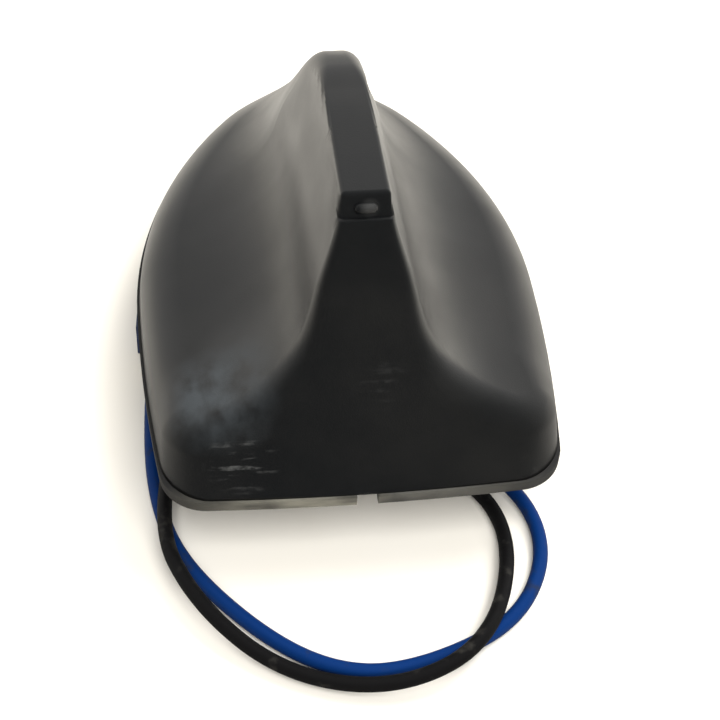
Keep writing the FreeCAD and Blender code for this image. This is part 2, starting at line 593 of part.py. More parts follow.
# Claw washer and clamp bolt
washer_base = "-Sizes.claw_top - Sizes.claw_thickness - Sizes.washer_thickness"
washer_disc = rod("washer_disc", "0", "Sizes.bolt_forward", washer_base, "Sizes.washer_radius", "Sizes.washer_thickness")
washer_hole = rod("washer_hole", "0", "Sizes.bolt_forward", washer_base + " - 1", "Sizes.bolt_radius + Sizes.claw_slack",
                  "Sizes.washer_thickness + 2")
keep("claw_washer", cut("claw_washer_shape", washer_disc, washer_hole))
bolt_head = bind(doc.addObject("Part::Prism", "bolt_head"), Circumradius="Sizes.bolt_head_flats / sqrt(3)",
                 Height="Sizes.bolt_head_height")
bolt_head.Polygon = 6
at(bolt_head, "0", "Sizes.bolt_forward", washer_base + " - Sizes.bolt_head_height")
bolt_shank = rod("bolt_shank", "0", "Sizes.bolt_forward", washer_base + " - 1", "Sizes.bolt_radius",
                 "Sizes.claw_top + Sizes.claw_thickness + Sizes.washer_thickness + 1 - Sizes.bolt_top")
keep("clamp_bolt", join("clamp_bolt_shape", bolt_head, bolt_shank))

# Main board on its posts, with a slot above the cable chamber
board_low = plate_top + " + Sizes.board_rise"
board_top = board_low + " + Sizes.board_thickness"
board_blank = box("board_blank", "0", "(Sizes.board_front - Sizes.board_back) / 2", board_low, "2 * Sizes.board_half_width",
                  "Sizes.board_front + Sizes.board_back", "Sizes.board_thickness")
board_holes = [rod(f"board_hole_{name}", x, y, "Sizes.seal_height", "Sizes.board_screw_radius + Sizes.claw_slack", "20")
               for name, x, y in BOARD_SCREWS]
keep("main_board", cut("main_board_shape", board_blank, *board_holes))
screws = []
for name, x, y in BOARD_SCREWS:
    head = rod(f"board_head_{name}", x, y, board_top, "Sizes.board_screw_head", "Sizes.board_screw_head_height")
    shank = rod(f"board_shank_{name}", x, y, board_top + " - Sizes.board_screw_length", "Sizes.board_screw_radius",
                "Sizes.board_screw_length + 0.5")
    screws += [head, shank]
keep("board_screws", join("board_screws_shape", *screws))

# Satellite patch, shield can and the upright phone antenna board
keep("gps_patch", box("gps_patch_shape", "0", "Sizes.patch_centre", board_top, "Sizes.patch_side", "Sizes.patch_side",
                      "Sizes.patch_height"))
keep("shield_can", box("shield_can_shape", "-Sizes.can_side", "-Sizes.can_back", board_top, "Sizes.can_width",
                       "Sizes.can_length", "Sizes.can_height"))
blade_sketch = doc.addObject("Sketcher::SketchObject", "blade_outline")
low = size["seal_height"] + size["plate_thickness"] + size["board_rise"] + size["board_thickness"]
corner_points = [Vector(-size["blade_back_low"], low, 0), Vector(-size["blade_front"], low, 0),
                 Vector(-size["blade_front"], size["blade_top"], 0), Vector(-size["blade_back_high"], size["blade_top"], 0)]
blade_sketch.addGeometry([Part.LineSegment(corner_points[i], corner_points[(i + 1) % 4]) for i in range(4)], False)
blade_sketch.addConstraint([Sketcher.Constraint("Coincident", i, 2, (i + 1) % 4, 1) for i in range(4)])
blade_sketch.addConstraint([Sketcher.Constraint("Horizontal", 0), Sketcher.Constraint("Horizontal", 2),
                            Sketcher.Constraint("Vertical", 1)])
for label, constraint, text in (
        ("back_low", Sketcher.Constraint("DistanceX", 0, 1, -1, 1, size["blade_back_low"]), "Sizes.blade_back_low"),
        ("back_high", Sketcher.Constraint("DistanceX", 3, 1, -1, 1, size["blade_back_high"]), "Sizes.blade_back_high"),
        ("front", Sketcher.Constraint("DistanceX", 1, 1, -1, 1, size["blade_front"]), "Sizes.blade_front"),
        ("low", Sketcher.Constraint("DistanceY", -1, 1, 0, 1, low), board_top),
        ("top", Sketcher.Constraint("DistanceY", -1, 1, 2, 1, size["blade_top"]), "Sizes.blade_top")):
    index = blade_sketch.addConstraint(constraint)
    blade_sketch.renameConstraint(index, label)
    blade_sketch.setExpression("Constraints." + label, text)
blade_sketch.Placement = Placement(Vector(0, 0, 0), Rotation(Vector(1, 1, 1), 120))
bind(blade_sketch, Placement__Base__x="-Sizes.blade_thickness / 2")
blade = doc.addObject("Part::Extrusion", "phone_blade_shape")
blade.Base = blade_sketch
blade.DirMode = "Custom"
blade.Dir = Vector(1, 0, 0)
blade.Solid = True
keep("phone_blade", bind(blade, LengthFwd="Sizes.blade_thickness"))

# Cable grommet: a plug of rubber in the rear of the spigot, flanged outside
grommet_core = box("grommet_core", "0", "-(Sizes.grommet_face + Sizes.chamber_back) / 2",
                   "-Sizes.cable_drop - Sizes.grommet_height / 2", "Sizes.grommet_width",
                   "Sizes.grommet_face - Sizes.chamber_back", "Sizes.grommet_height")
grommet_lip = box("grommet_lip", "0", "-Sizes.grommet_face + Sizes.grommet_flange_depth / 2",
                  "-Sizes.cable_drop - Sizes.grommet_height / 2 - Sizes.grommet_flange / 2",
                  "Sizes.grommet_width + 2 * Sizes.grommet_flange", "Sizes.grommet_flange_depth",
                  "Sizes.grommet_height + Sizes.grommet_flange")
keep("cable_grommet", join("cable_grommet_shape", grommet_core, grommet_lip))


# Cables: straight runs with tangent bends through hand-chosen points, lying on the table behind the antenna
def route(points):
    """The wire through the points, with its bends, and the smallest bend radius."""
    edges = []
    start = points[0]
    radii = []
    for before, here, after in zip(points, points[1:], points[2:]):
        to_here = here - before
        to_next = after - here
        half_turn = to_here.getAngle(to_next) / 2
        trim = 0.45 * min(to_here.Length, to_next.Length)
        radius = trim / math.tan(half_turn)
        inward = (Vector(to_next).normalize() - Vector(to_here).normalize()).normalize()
        middle = here + inward * (radius / math.cos(half_turn) - radius)
        enter = here - Vector(to_here).normalize() * trim
        leave = here + Vector(to_next).normalize() * trim
        edges += [Part.makeLine(start, enter), Part.Arc(enter, middle, leave).toShape()]
        start = leave
        radii.append(round(radius, 1))
    edges.append(Part.makeLine(start, points[-1]))
    return Part.Wire(edges), radii


def cable(node, points):
    """A plain cable: a section of flat sides, equal in area to the round one, swept along its route."""
    wire, radii = route(points)
    radius = sheet.get("cable_diameter") / 2
    sides = int(sheet.get("cable_sides"))
    reach = radius * math.sqrt(2 * math.pi / (sides * math.sin(2 * math.pi / sides)))
    start = Placement(points[0], Rotation(Vector(0, 0, 1), points[1] - points[0]))
    turns = [2 * math.pi * (side + 0.5) / sides for side in range(sides + 1)]
    section = Part.makePolygon([start.multVec(Vector(reach * math.cos(t), reach * math.sin(t), 0)) for t in turns])
    made = doc.addObject("Part::Feature", node + "_shape")
    made.Shape = wire.makePipe(Part.Face(section))
    expected = math.pi * radius ** 2 * wire.Length
    print(node, "length", round(wire.Length, 1), "bends", radii, "volume ratio", round(made.Shape.Volume / expected, 4))
    return keep(node, made)


def plug_parts(colour, end, before):
    """Crimp sleeve, housing and contact in line with the cable's last run."""
    turn = Rotation(Vector(0, 1, 0), Vector(end.x - before.x, end.y - before.y, 0))
    place = Placement(end, turn)

    def lay(thing, back):
        thing.Placement = place.multiply(Placement(Vector(0, back, 0), Rotation(Vector(1, 0, 0), -90)))
        return thing

    def round_bar(name, radius, length, back):
        return lay(bind(doc.addObject("Part::Cylinder", name), Radius=radius, Height=length), back)

    crimp = size["crimp_length"]
    plug = size["plug_length"]
    keep(f"{colour}_crimp", round_bar(f"{colour}_crimp_shape", "Sizes.crimp_radius", "Sizes.crimp_length", 0))
    body = bind(doc.addObject("Part::Box", f"{colour}_body"), Length="Sizes.plug_width", Width="Sizes.plug_length",
                Height="Sizes.plug_width")
    half = size["plug_width"] / 2
    body.Placement = place.multiply(Placement(Vector(-half, crimp, -half), Rotation()))
    key = bind(doc.addObject("Part::Box", f"{colour}_key"), Length="Sizes.key_width", Width="Sizes.plug_length",
               Height="Sizes.key_height")
    key.Placement = place.multiply(Placement(Vector(-size["key_width"] / 2, crimp, half), Rotation()))
    nose = round_bar(f"{colour}_nose", "Sizes.nose_radius", "Sizes.nose_length + 1", crimp + plug - 1)
    bore = round_bar(f"{colour}_bore", "Sizes.nose_bore", "Sizes.nose_length + 1", crimp + plug)
    keep(f"{colour}_plug", cut(f"{colour}_plug_shape", join(f"{colour}_plug_solid", body, key, nose), bore))
    pin = round_bar(f"{colour}_pin", "Sizes.contact_radius", "Sizes.contact_length", crimp + plug)
    pin_bore = round_bar(f"{colour}_pin_bore", "Sizes.contact_bore", "Sizes.contact_length", crimp + plug + 1)
    keep(f"{colour}_contact", cut(f"{colour}_contact_shape", pin, pin_bore))


def exit_point(side):
    return Vector(side * size["cable_side"], -size["grommet_face"], -size["cable_drop"])


BLACK_ROUTE = [exit_point(-1)] + [Vector(*p) for p in (
    (-2.4, -34.8, -3.6), (25.0, -46.0, -13.7), (30.2, -63.0, -13.6), (20.9, -88.1, -9.6), (1.8, -95.2, -12.2),
    (-19.0, -88.9, -13.6), (-34.5, -73.6, -10.4), (-41.5, -53.2, -10.45), (-36.2, -32.7, -10.45))]
BLUE_ROUTE = [exit_point(1)] + [Vector(*p) for p in (
    (2.4, -32.4, -3.6), (21.0, -40.5, -10.0), (34.3, -50.0, -13.7), (36.6, -66.0, -13.7), (27.5, -81.5, -13.7),
    (9.0, -89.3, -13.7), (-6.0, -90.2, -13.7), (-20.5, -81.8, -13.7), (-36.5, -62.5, -13.7), (-41.2, -45.5, -13.7),
    (-41.4, -27.0, -11.0), (-40.0, -12.2, -11.0))]
cable("black_cable", BLACK_ROUTE)
cable("blue_cable", BLUE_ROUTE)
plug_parts("black", BLACK_ROUTE[-1], BLACK_ROUTE[-2])
plug_parts("blue", BLUE_ROUTE[-1], BLUE_ROUTE[-2])

# Check every object, then write one file per piece
doc.recompute()
for thing in doc.Objects:
    if "Invalid" in thing.State or "Error" in thing.State:
        raise RuntimeError(f"{thing.Label}: {thing.State}")
for node, thing in parts.items():
    if thing.Shape.isNull() or not thing.Shape.isValid():
        raise RuntimeError(f"{node}: no valid shape")
    if len(thing.Shape.Solids) != {"cover_screws": len(SCREWS), "board_screws": len(BOARD_SCREWS)}.get(node, 1):
        raise RuntimeError(f"{node}: {len(thing.Shape.Solids)} solids")
os.makedirs("parts", exist_ok=True)
for node, thing in parts.items():
    thing.Shape.exportStep(f"parts/{node}.step")
print("pieces written:", len(parts))
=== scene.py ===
import math

import bmesh
import bpy
import numpy as np
from mathutils import Matrix, Vector


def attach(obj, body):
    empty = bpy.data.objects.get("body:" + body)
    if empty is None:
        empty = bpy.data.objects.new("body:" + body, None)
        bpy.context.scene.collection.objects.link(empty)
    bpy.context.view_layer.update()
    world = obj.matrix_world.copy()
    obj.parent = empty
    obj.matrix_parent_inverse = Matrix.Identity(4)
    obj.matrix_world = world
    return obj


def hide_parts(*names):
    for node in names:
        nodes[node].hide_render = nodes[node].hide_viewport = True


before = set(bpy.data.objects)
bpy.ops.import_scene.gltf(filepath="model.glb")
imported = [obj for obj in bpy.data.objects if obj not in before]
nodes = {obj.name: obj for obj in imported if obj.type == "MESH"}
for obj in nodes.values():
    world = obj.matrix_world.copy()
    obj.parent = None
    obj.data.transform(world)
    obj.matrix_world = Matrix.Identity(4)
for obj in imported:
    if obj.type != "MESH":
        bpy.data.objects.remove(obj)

scene = bpy.context.scene
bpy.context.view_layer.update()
MM = 0.001


# Camera, at the photo's angle
camera_data = bpy.data.cameras.new("camera")
camera = bpy.data.objects.new("camera", camera_data)
scene.collection.objects.link(camera)
scene.camera = camera
camera_data.sensor_width = 36.0
camera_data.lens = 82.84
camera_data.clip_start = 0.01
camera_data.clip_end = 10
camera_place = Vector((-37.03, -252.61, 258.02)) * MM
camera_right = Vector((0.99168, -0.11952, 0.04775))
camera_up = Vector((0.05719, 0.74157, 0.66843))
camera_back = camera_right.cross(camera_up)
turn = Matrix((camera_right, camera_up, camera_back)).transposed().to_4x4()
camera.matrix_world = Matrix.Translation(camera_place) @ turn


# Material helpers
def new_material(name):
    """A material with only a Principled shader; returns it, its tree and the shader."""
    made = bpy.data.materials.new(name)
    made.use_nodes = True
    return made, made.node_tree, made.node_tree.nodes["Principled BSDF"]


def put(tree, value, socket):
    """Set a socket from another socket or from a plain value."""
    if isinstance(value, bpy.types.NodeSocket):
        tree.links.new(value, socket)
    else:
        socket.default_value = value


def add(tree, kind, inputs, **settings):
    """A node with its settings and inputs."""
    node = tree.nodes.new(kind)
    for key, value in settings.items():
        setattr(node, key, value)
    for key, value in inputs.items():
        put(tree, value, node.inputs[key])
    return node


def place(tree, stretch=(1, 1, 1)):
    """Object coordinates, stretched."""
    coordinates = add(tree, "ShaderNodeTexCoord", {}).outputs["Object"]
    return add(tree, "ShaderNodeMapping", {"Vector": coordinates, "Scale": stretch}).outputs["Vector"]


def noise(tree, scale, detail=3.0, stretch=(1, 1, 1)):
    """Noise in cycles per metre."""
    inputs = {"Vector": place(tree, stretch), "Scale": scale, "Detail": detail}
    return add(tree, "ShaderNodeTexNoise", inputs).outputs["Fac"]


def ramp(tree, value, low, high, to_low=0.0, to_high=1.0):
    """A clamped straight-line map from one range to another."""
    inputs = {"Value": value, "From Min": low, "From Max": high, "To Min": to_low, "To Max": to_high}
    return add(tree, "ShaderNodeMapRange", inputs).outputs["Result"]


def times(tree, first, second, kind="MULTIPLY"):
    node = add(tree, "ShaderNodeMath", {}, operation=kind)
    put(tree, first, node.inputs[0])
    put(tree, second, node.inputs[1])
    return node.outputs[0]


def mix(tree, factor, first, second):
    """A blend of two colours."""
    node = add(tree, "ShaderNodeMix", {}, data_type="RGBA")
    put(tree, factor, node.inputs[0])
    put(tree, first, node.inputs[6])
    put(tree, second, node.inputs[7])
    return node.outputs[2]


def spot(tree, centre, radius, stretch=(1, 1, 1)):
    """A soft round patch: one at its centre, nothing at its radius; both in millimetres."""
    coordinates = place(tree, tuple(s / (radius * MM) for s in stretch))
    middle = tuple(c * s / radius for c, s in zip(centre, stretch))
    apart = add(tree, "ShaderNodeVectorMath", {0: coordinates, 1: middle}, operation="DISTANCE")
    return ramp(tree, apart.outputs["Value"], 1.0, 0.3)


def bump(tree, shader, height, strength, depth):
    relief = add(tree, "ShaderNodeBump", {"Height": height, "Strength": strength, "Distance": depth * MM})
    tree.links.new(relief.outputs["Normal"], shader.inputs["Normal"])


def worn(name, colour, dusty, rough, metal=0.0, patch=60.0, dust=(0.5, 0.75), shine=0.5):
    """A plain surface with patches of dust, uneven roughness and a fine grain."""
    made, tree, shader = new_material(name)
    patches = ramp(tree, noise(tree, patch, 5.0), *dust)
    put(tree, mix(tree, patches, (*colour, 1.0), (*dusty, 1.0)), shader.inputs["Base Color"])
    uneven = ramp(tree, noise(tree, 3 * patch), 0.3, 0.7, rough - 0.06, rough + 0.08)
    put(tree, uneven, shader.inputs["Roughness"])
    put(tree, metal, shader.inputs["Metallic"])
    put(tree, shine, shader.inputs["Specular IOR Level"])
    bump(tree, shader, noise(tree, 900.0), 0.25, 0.2)
    return made


def paint(node, material):
    """Give a CAD node its material."""
    nodes[node].data.materials.clear()
    nodes[node].data.materials.append(material)


# Table and light: a white table that fades to dark on the camera's side in reflections, a bright
# room behind the antenna, and two soft lamps that leave no highlight: one far right, one overhead
TABLE_HEIGHT = -15.25 * MM
bpy.ops.mesh.primitive_plane_add(size=6, location=(0, 0, TABLE_HEIGHT))
table = bpy.context.object
table.name = "table"
table_white, tree, shader = new_material("table_white")
paper = mix(tree, noise(tree, 30.0), (0.93, 0.885, 0.79, 1), (0.95, 0.91, 0.83, 1))
across = add(tree, "ShaderNodeSeparateXYZ", {"Vector": place(tree)}).outputs["Y"]
# Painted shade: in reflections only, the table turns dark towards the camera's side and stands in for
# shade there
reflected_painted_shade = mix(tree, ramp(tree, across, -0.12, 0.05), (0.05, 0.05, 0.05, 1), paper)
glossy = add(tree, "ShaderNodeLightPath", {}).outputs["Is Glossy Ray"]
put(tree, mix(tree, glossy, paper, reflected_painted_shade), shader.inputs["Base Color"])
put(tree, 0.85, shader.inputs["Roughness"])
put(tree, 0.2, shader.inputs["Specular IOR Level"])
table.data.materials.append(table_white)

world = bpy.data.worlds.new("room")
scene.world = world
world.use_nodes = True
tree = world.node_tree
direction = add(tree, "ShaderNodeTexCoord", {}).outputs["Generated"]
look = add(tree, "ShaderNodeSeparateXYZ", {"Vector": direction})
far = ramp(tree, look.outputs["Y"], -0.45, 0.45, 0.1, 0.75)
low_sky = ramp(tree, look.outputs["Z"], 0.1, 0.9, 1.2, 0.85)
backdrop = add(tree, "ShaderNodeLightPath", {}).outputs["Is Camera Ray"]
strength = times(tree, times(tree, far, low_sky), backdrop, "MAXIMUM")
put(tree, strength, tree.nodes["Background"].inputs["Strength"])
put(tree, (1.0, 0.985, 0.96, 1.0), tree.nodes["Background"].inputs["Color"])


def lamp(name, at, size, energy):
    """A soft square lamp aimed at the antenna and left out of reflections."""
    data = bpy.data.lights.new(name, "AREA")
    data.size = size
    data.energy = energy
    made = bpy.data.objects.new(name, data)
    made.location = at
    made.rotation_euler = (-made.location).to_track_quat("-Z", "Y").to_euler()
    made.visible_glossy = False
    scene.collection.objects.link(made)


lamp("key", (0.5, 0.4, 0.75), 0.6, 9.0)
lamp("overhead", (0.1, -0.7, 1.05), 1.1, 20.0)
scene.view_settings.view_transform = "Standard"


# Fin cover: one moulded shell of satin black plastic, screwed to the base from below.
# Its skin is the zero level of a distance-like function: leaning walls, hollow flanks and a flat
# ridge, met with rounded edges, and a small step with a rib at the ridge's rear end. In millimetres.
SEAL_HEIGHT = 2.4
HALF_WIDTH, WIDEST, NOSE, REAR = 42.3, -8.0, 61.0, 60.2
REAR_SIDE_RADIUS, FRONT_SIDE_RADIUS, BOW_RADIUS, CORNER_RADIUS = 330.0, 90.0, 540.0, 8.0
FRONT_RADIUS_TAPER = 0.094
SIDE_SLOPE, NOSE_SLOPE, REAR_SLOPE = (math.tan(math.radians(a)) for a in (8.0, 25.0, 24.0))
REAR_LEAN = math.radians(24.0)
SHOULDER_REAR, SHOULDER_FALL = 11.4, 0.0383
RIDGE_HALF, FIN_HEIGHT = 4.5, 55.6
SHOULDER_ROUND, RIDGE_ROUND, SIDE_SOFTER = 4.2, 1.4, 3.0
RIDGE_EDGE, FRONT_SOFTER, STEP_EDGE = 0.9, 2.2, 0.6
FLANK_SWELL, SWELL_AT, SWELL_SPREAD = 3.2, 0.70, 0.21
WALL = 2.2
STEP_HEIGHT, STEP_DEPTH, STEP_DOWN = 4.5, 0.8, 2.7
RIB_LENGTH, RIB_RADIUS = 4.4, 1.0
RIB_RINGS, RIB_AROUND = 14, 24
STATION = np.array([-76, -56, -36, -18, -4, 6, 14, 22, 32, 42, 52, 64], float)
RIDGE = np.array([55.8, 55.9, 55.6, 55.0, 54.1, 52.8, 49.6, 43.0, 33.0, 22.8, 14.0, 9.6])
FOOT = np.array([44, 44, 44, 44, 44, 43, 41.5, 39, 34.5, 29, 22, 14], float)


def ease(t):
    """A smooth step from nothing at zero to one at one."""
    t = np.clip(t, 0, 1)
    return t * t * (3 - 2 * t)


def bisect(inside, low, high, rounds=24):
    """Where a test stops being true between two arrays of numbers."""
    for _ in range(rounds):
        middle = (low + high) / 2
        kept = inside(middle)
        low, high = np.where(kept, middle, low), np.where(kept, high, middle)
    return (low + high) / 2


def smooth_line(at, keys, values):
    """A cubic through the keys, its slope at each taken from its neighbours."""
    slope = np.gradient(values, keys)
    i = np.clip(np.searchsorted(keys, at) - 1, 0, len(keys) - 2)
    width = keys[i + 1] - keys[i]
    t = np.clip((at - keys[i]) / width, 0, 1)
    return ((1 + 2 * t) * (1 - t) ** 2 * values[i] + t * (1 - t) ** 2 * width * slope[i]
            + t ** 2 * (3 - 2 * t) * values[i + 1] - t ** 2 * (1 - t) * width * slope[i + 1])


def meet(a, b, radius):
    """Where two solids meet: inside both, with the edge between them rounded to a radius."""
    inside = np.minimum(np.maximum(a, b), -radius)
    return inside + np.hypot(np.maximum(a + radius, 0), np.maximum(b + radius, 0))


def wall_distance(x, y, z):
    """Distance outside the leaning wall: side arcs and a nose arc, met by the bowed rear face."""
    x = np.abs(x)
    half = HALF_WIDTH - z * SIDE_SLOPE
    nose = NOSE - z * NOSE_SLOPE
    rear = REAR - z * REAR_SLOPE
    front = FRONT_SIDE_RADIUS - FRONT_RADIUS_TAPER * z
    reach = nose - WIDEST
    nose_radius = (front ** 2 - (front - half) ** 2 - reach ** 2) / (2 * (front - reach))
    nose_y = nose - nose_radius
    rear_side = np.hypot(x - half + REAR_SIDE_RADIUS, y - WIDEST) - REAR_SIDE_RADIUS
    front_side = np.hypot(x - half + front, y - WIDEST) - front
    side = np.where(y < WIDEST, rear_side, front_side) * math.cos(math.atan(SIDE_SLOPE))
    at_nose = (front - half) * (y - nose_y) - (nose_y - WIDEST) * x > 0
    off_tip = np.clip(np.arctan2(x, y - nose_y) / np.arctan2(front - half, nose_y - WIDEST), 0, 1)
    lean = NOSE_SLOPE + (SIDE_SLOPE - NOSE_SLOPE) * off_tip
    end = (np.hypot(x, y - nose_y) - nose_radius) / np.hypot(1, lean)
    back = (np.hypot(x, y - BOW_RADIUS + rear) - BOW_RADIUS) * math.cos(REAR_LEAN)
    return meet(np.where(at_nose, end, side), back, CORNER_RADIUS)


def top_distance(x, y, z):
    """Distance above the level shoulder, the hollow flank that rises from it, and the ridge."""
    x = np.abs(x)
    high = smooth_line(y, STATION, RIDGE)
    foot = smooth_line(y, STATION, FOOT)
    shoulder = SHOULDER_REAR - (y + REAR) * SHOULDER_FALL
    rise = high - shoulder
    radius = ((foot - RIDGE_HALF) ** 2 + rise ** 2) / (2 * rise)
    slope = smooth_line(y + 0.5, STATION, RIDGE) - smooth_line(y - 0.5, STATION, RIDGE)
    swell = FLANK_SWELL * np.clip((high - 20) / 25, 0, 1)
    x = x - swell * np.exp(-((z / high - SWELL_AT) / SWELL_SPREAD) ** 2)
    flank = np.where(x < foot, radius - np.hypot(x - foot, z - shoulder - radius), z - shoulder)
    flank = np.where((x < foot) & (z > shoulder + radius), x - foot + radius, flank)
    edge = RIDGE_EDGE + FRONT_SOFTER * ease((y + 6) / 18)
    return meet(flank, (z - high) / np.hypot(1, slope), edge)


def cover_distance(x, y, z):
    """Distance outside the cover. Its edges are softest along the sides and tighten towards the ridge;
    the step is cut last."""
    shoulder = SHOULDER_ROUND + SIDE_SOFTER * ease((y + 52) / 20)
    edge = shoulder - (shoulder - RIDGE_ROUND) * ease((z - 14) / 36)
    solid = meet(wall_distance(x, y, z), top_distance(x, y, z), edge)
    along, across = y + REAR - FIN_HEIGHT * REAR_SLOPE, z - FIN_HEIGHT
    below_corner = along * math.sin(REAR_LEAN) + across * math.cos(REAR_LEAN)
    out_of_face = across * math.sin(REAR_LEAN) - along * math.cos(REAR_LEAN)
    return meet(solid, np.minimum(STEP_HEIGHT + below_corner, STEP_DEPTH + out_of_face), STEP_EDGE)


def cover_height(x, y):
    """Height of the skin above the cover's foot at points in plan, by bisection."""
    return bisect(lambda z: cover_distance(x, y, z) < 0, np.full_like(x, -3.0), np.full_like(x, 62.0))


def outline_points(count):
    """Points spaced evenly round the cover's foot, found by bisection along spokes from its middle."""
    turn = np.linspace(0, 2 * math.pi, 4 * count, endpoint=False) - math.pi / 2
    spokes = np.stack([np.cos(turn), np.sin(turn)])
    far = bisect(lambda r: wall_distance(*(r * spokes), 0 * turn) < 0, 0 * turn, 0 * turn + 90.0, 40)
    ring = (far * spokes).T
    closed = np.vstack([ring, ring[:1]])
    along = np.concatenate([[0], np.cumsum(np.hypot(*np.diff(closed, axis=0).T))])
    even = np.linspace(0, along[-1], count, endpoint=False)
    return np.stack([np.interp(even, along, closed[:, k]) for k in (0, 1)], 1)


def bell_half(y):
    """Half width of the rear face where its plane passes a place in plan."""
    z = np.clip((y + REAR) / REAR_SLOPE, SHOULDER_REAR, FIN_HEIGHT - 3)
    return bisect(lambda x: top_distance(x, y, z) < 0, np.zeros_like(y), np.full_like(y, 46.0))


def cover_skin(rays=640, steps=140, fine=1100):
    """Rays in plan from the outline in to the ridge line; those from the rear follow the rear face's
    edges. Each ray's profile is split by its length, more closely where it bends, and starts with
    the wall's inner face and its lower edge."""
    foot = outline_points(rays)
    share = 1 - np.abs(np.arange(rays) / (rays / 2) - 1)
    end = np.interp(share, [0, 0.2, 0.86, 1.0], [-33.2, -31.0, 50.0, 52.0])
    inward = np.stack([-foot[:, 0], end - foot[:, 1]], 1)
    inward /= np.linalg.norm(inward, axis=1)[:, None]
    t = np.linspace(0, 1, fine)
    y = foot[:, 1:] * (1 - t) + end[:, None] * t
    places = np.linspace(-62, -32, 400)
    bell = bell_half(places)
    follow = np.interp(y, places, bell) / np.interp(foot[:, 1:], places, bell) * (1 - t ** 24)
    hold = ease((0.95 - share) / 0.75)[:, None]
    x = foot[:, :1] * (hold * follow + (1 - hold) * (1 - t))
    z = cover_height(x, y)
    z[:, 0] = 0
    run = np.stack([np.diff(x), np.diff(y), np.diff(z)], 2)
    length = np.linalg.norm(run, axis=2)
    heading = run / length[:, :, None]
    bend = np.linalg.norm(np.diff(heading, axis=1, prepend=heading[:, :1]), axis=2)
    measure = np.concatenate([np.zeros((rays, 1)), np.cumsum(length + 6.0 * bend, axis=1)], axis=1)
    edges = ((WALL + 3.2, 6.0), (WALL, 0.3), (WALL - 0.3, 0.0), (0.3, 0.0))
    grid = np.zeros((rays, len(edges) + steps, 3))
    for column, (inset, height) in enumerate(edges):
        grid[:, column, :2] = foot + inward * inset
        grid[:, column, 2] = height
    for ray in range(rays):
        even = np.linspace(0, measure[ray, -1], steps)
        grid[ray, len(edges):] = np.stack([np.interp(even, measure[ray], c[ray]) for c in (x, y, z)], 1)
    return grid


def rib_points():
    """A round-ended bar across the step, as rings round the x axis from one tip to the other."""
    lean = np.array([0, math.sin(REAR_LEAN), math.cos(REAR_LEAN)])
    inward = np.array([0, math.cos(REAR_LEAN), -math.sin(REAR_LEAN)])
    corner = np.array([0, -REAR + FIN_HEIGHT * REAR_SLOPE, FIN_HEIGHT])
    middle = corner - STEP_DOWN * lean + STEP_DEPTH * inward
    angle = np.linspace(-math.pi / 2, math.pi / 2, RIB_RINGS)
    shift = np.sin(angle) * RIB_RADIUS + np.sign(angle) * (RIB_LENGTH / 2 - RIB_RADIUS)
    turn = np.linspace(0, 2 * math.pi, RIB_AROUND, endpoint=False)
    ring = np.stack([0 * turn, np.cos(turn), np.sin(turn)], 1)
    rings = [middle + [s, 0, 0] + RIB_RADIUS * math.cos(a) * ring for s, a in zip(shift, angle)]
    return np.concatenate(rings)


def strip_faces(rows, columns, first=0, closed_rows=False):
    """Quads of a grid of points, row by row; the last row may join the first."""
    row = np.arange(rows if closed_rows else rows - 1)
    column = np.arange(columns - 1)
    here = (row[:, None] * columns + column).ravel()
    beside = (((row + 1) % rows)[:, None] * columns + column).ravel()
    return first + np.stack([here, beside, beside + 1, here + 1], 1)


cover_black, tree, shader = new_material("cover_black")
mottle = ramp(tree, noise(tree, 45.0, 5.0), 0.4, 0.75)
tone = mix(tree, mottle, (0.0055, 0.006, 0.0064, 1), (0.0105, 0.0105, 0.0102, 1))
cells = add(tree, "ShaderNodeTexVoronoi", {"Vector": place(tree), "Scale": 105.0})
cell_draw = add(tree, "ShaderNodeSeparateXYZ", {"Vector": cells.outputs["Color"]}).outputs["X"]
chosen = times(tree, cell_draw, 0.8, "GREATER_THAN")
specks = times(tree, ramp(tree, cells.outputs["Distance"], 0.03, 0.02), chosen)

# Haze on the two flanks, a blue-grey scuff on the left shoulder and fine scratches low on the rear
haze_right = times(tree, spot(tree, (18.0, -45.0, 23.0), 10.0), 0.4)
haze = times(tree, spot(tree, (-21.0, -37.0, 20.0), 14.0), haze_right, "MAXIMUM")
haze = times(tree, haze, ramp(tree, noise(tree, 120.0, 4.0), 0.2, 0.8, 0.5, 1.0))
cloud = ramp(tree, noise(tree, 210.0, 6.0, (1.0, 0.6, 0.6)), 0.34, 0.6)
scuff = times(tree, spot(tree, (-27.5, -44.0, 16.5), 13.0, (0.8, 1.0, 1.0)), cloud)
hair = ramp(tree, noise(tree, 240.0, 6.0, (0.5, 3.0, 3.0)), 0.54, 0.64)
hair = times(tree, hair, ramp(tree, noise(tree, 700.0), 0.35, 0.6))
rubbed = spot(tree, (-24.0, -56.0, 10.0), 8.0)
faint = ((-38.6, -51.7, 5.0), 4.0), ((32.3, -58.6, 3.5), 5.0), ((2.5, -50.5, 24.5), 7.0)
for centre, reach in faint:
    rubbed = times(tree, rubbed, times(tree, spot(tree, centre, reach), 0.15), "MAXIMUM")
scratches = times(tree, hair, rubbed)
tone = mix(tree, times(tree, haze, 0.7), tone, (0.038, 0.038, 0.037, 1))
tone = mix(tree, times(tree, scuff, 0.8), tone, (0.055, 0.064, 0.07, 1))
tone = mix(tree, times(tree, scratches, 0.65), tone, (0.1, 0.102, 0.1, 1))
# Painted highlight: a lighter patch on the rib in the step, a little right of its middle, stands in for
# the reflection that lights it
tone = mix(tree, spot(tree, (0.7, -36.6, 55.6), 2.2), tone, (0.035, 0.035, 0.034, 1))
put(tree, mix(tree, specks, tone, (0.2, 0.195, 0.18, 1)), shader.inputs["Base Color"])
sheen = ramp(tree, noise(tree, 70.0, 4.0), 0.3, 0.7, 0.33, 0.42)
put(tree, times(tree, sheen, times(tree, scuff, 0.12), "ADD"), shader.inputs["Roughness"])
bump(tree, shader, noise(tree, 3200.0, 2.0), 0.12, 0.2)

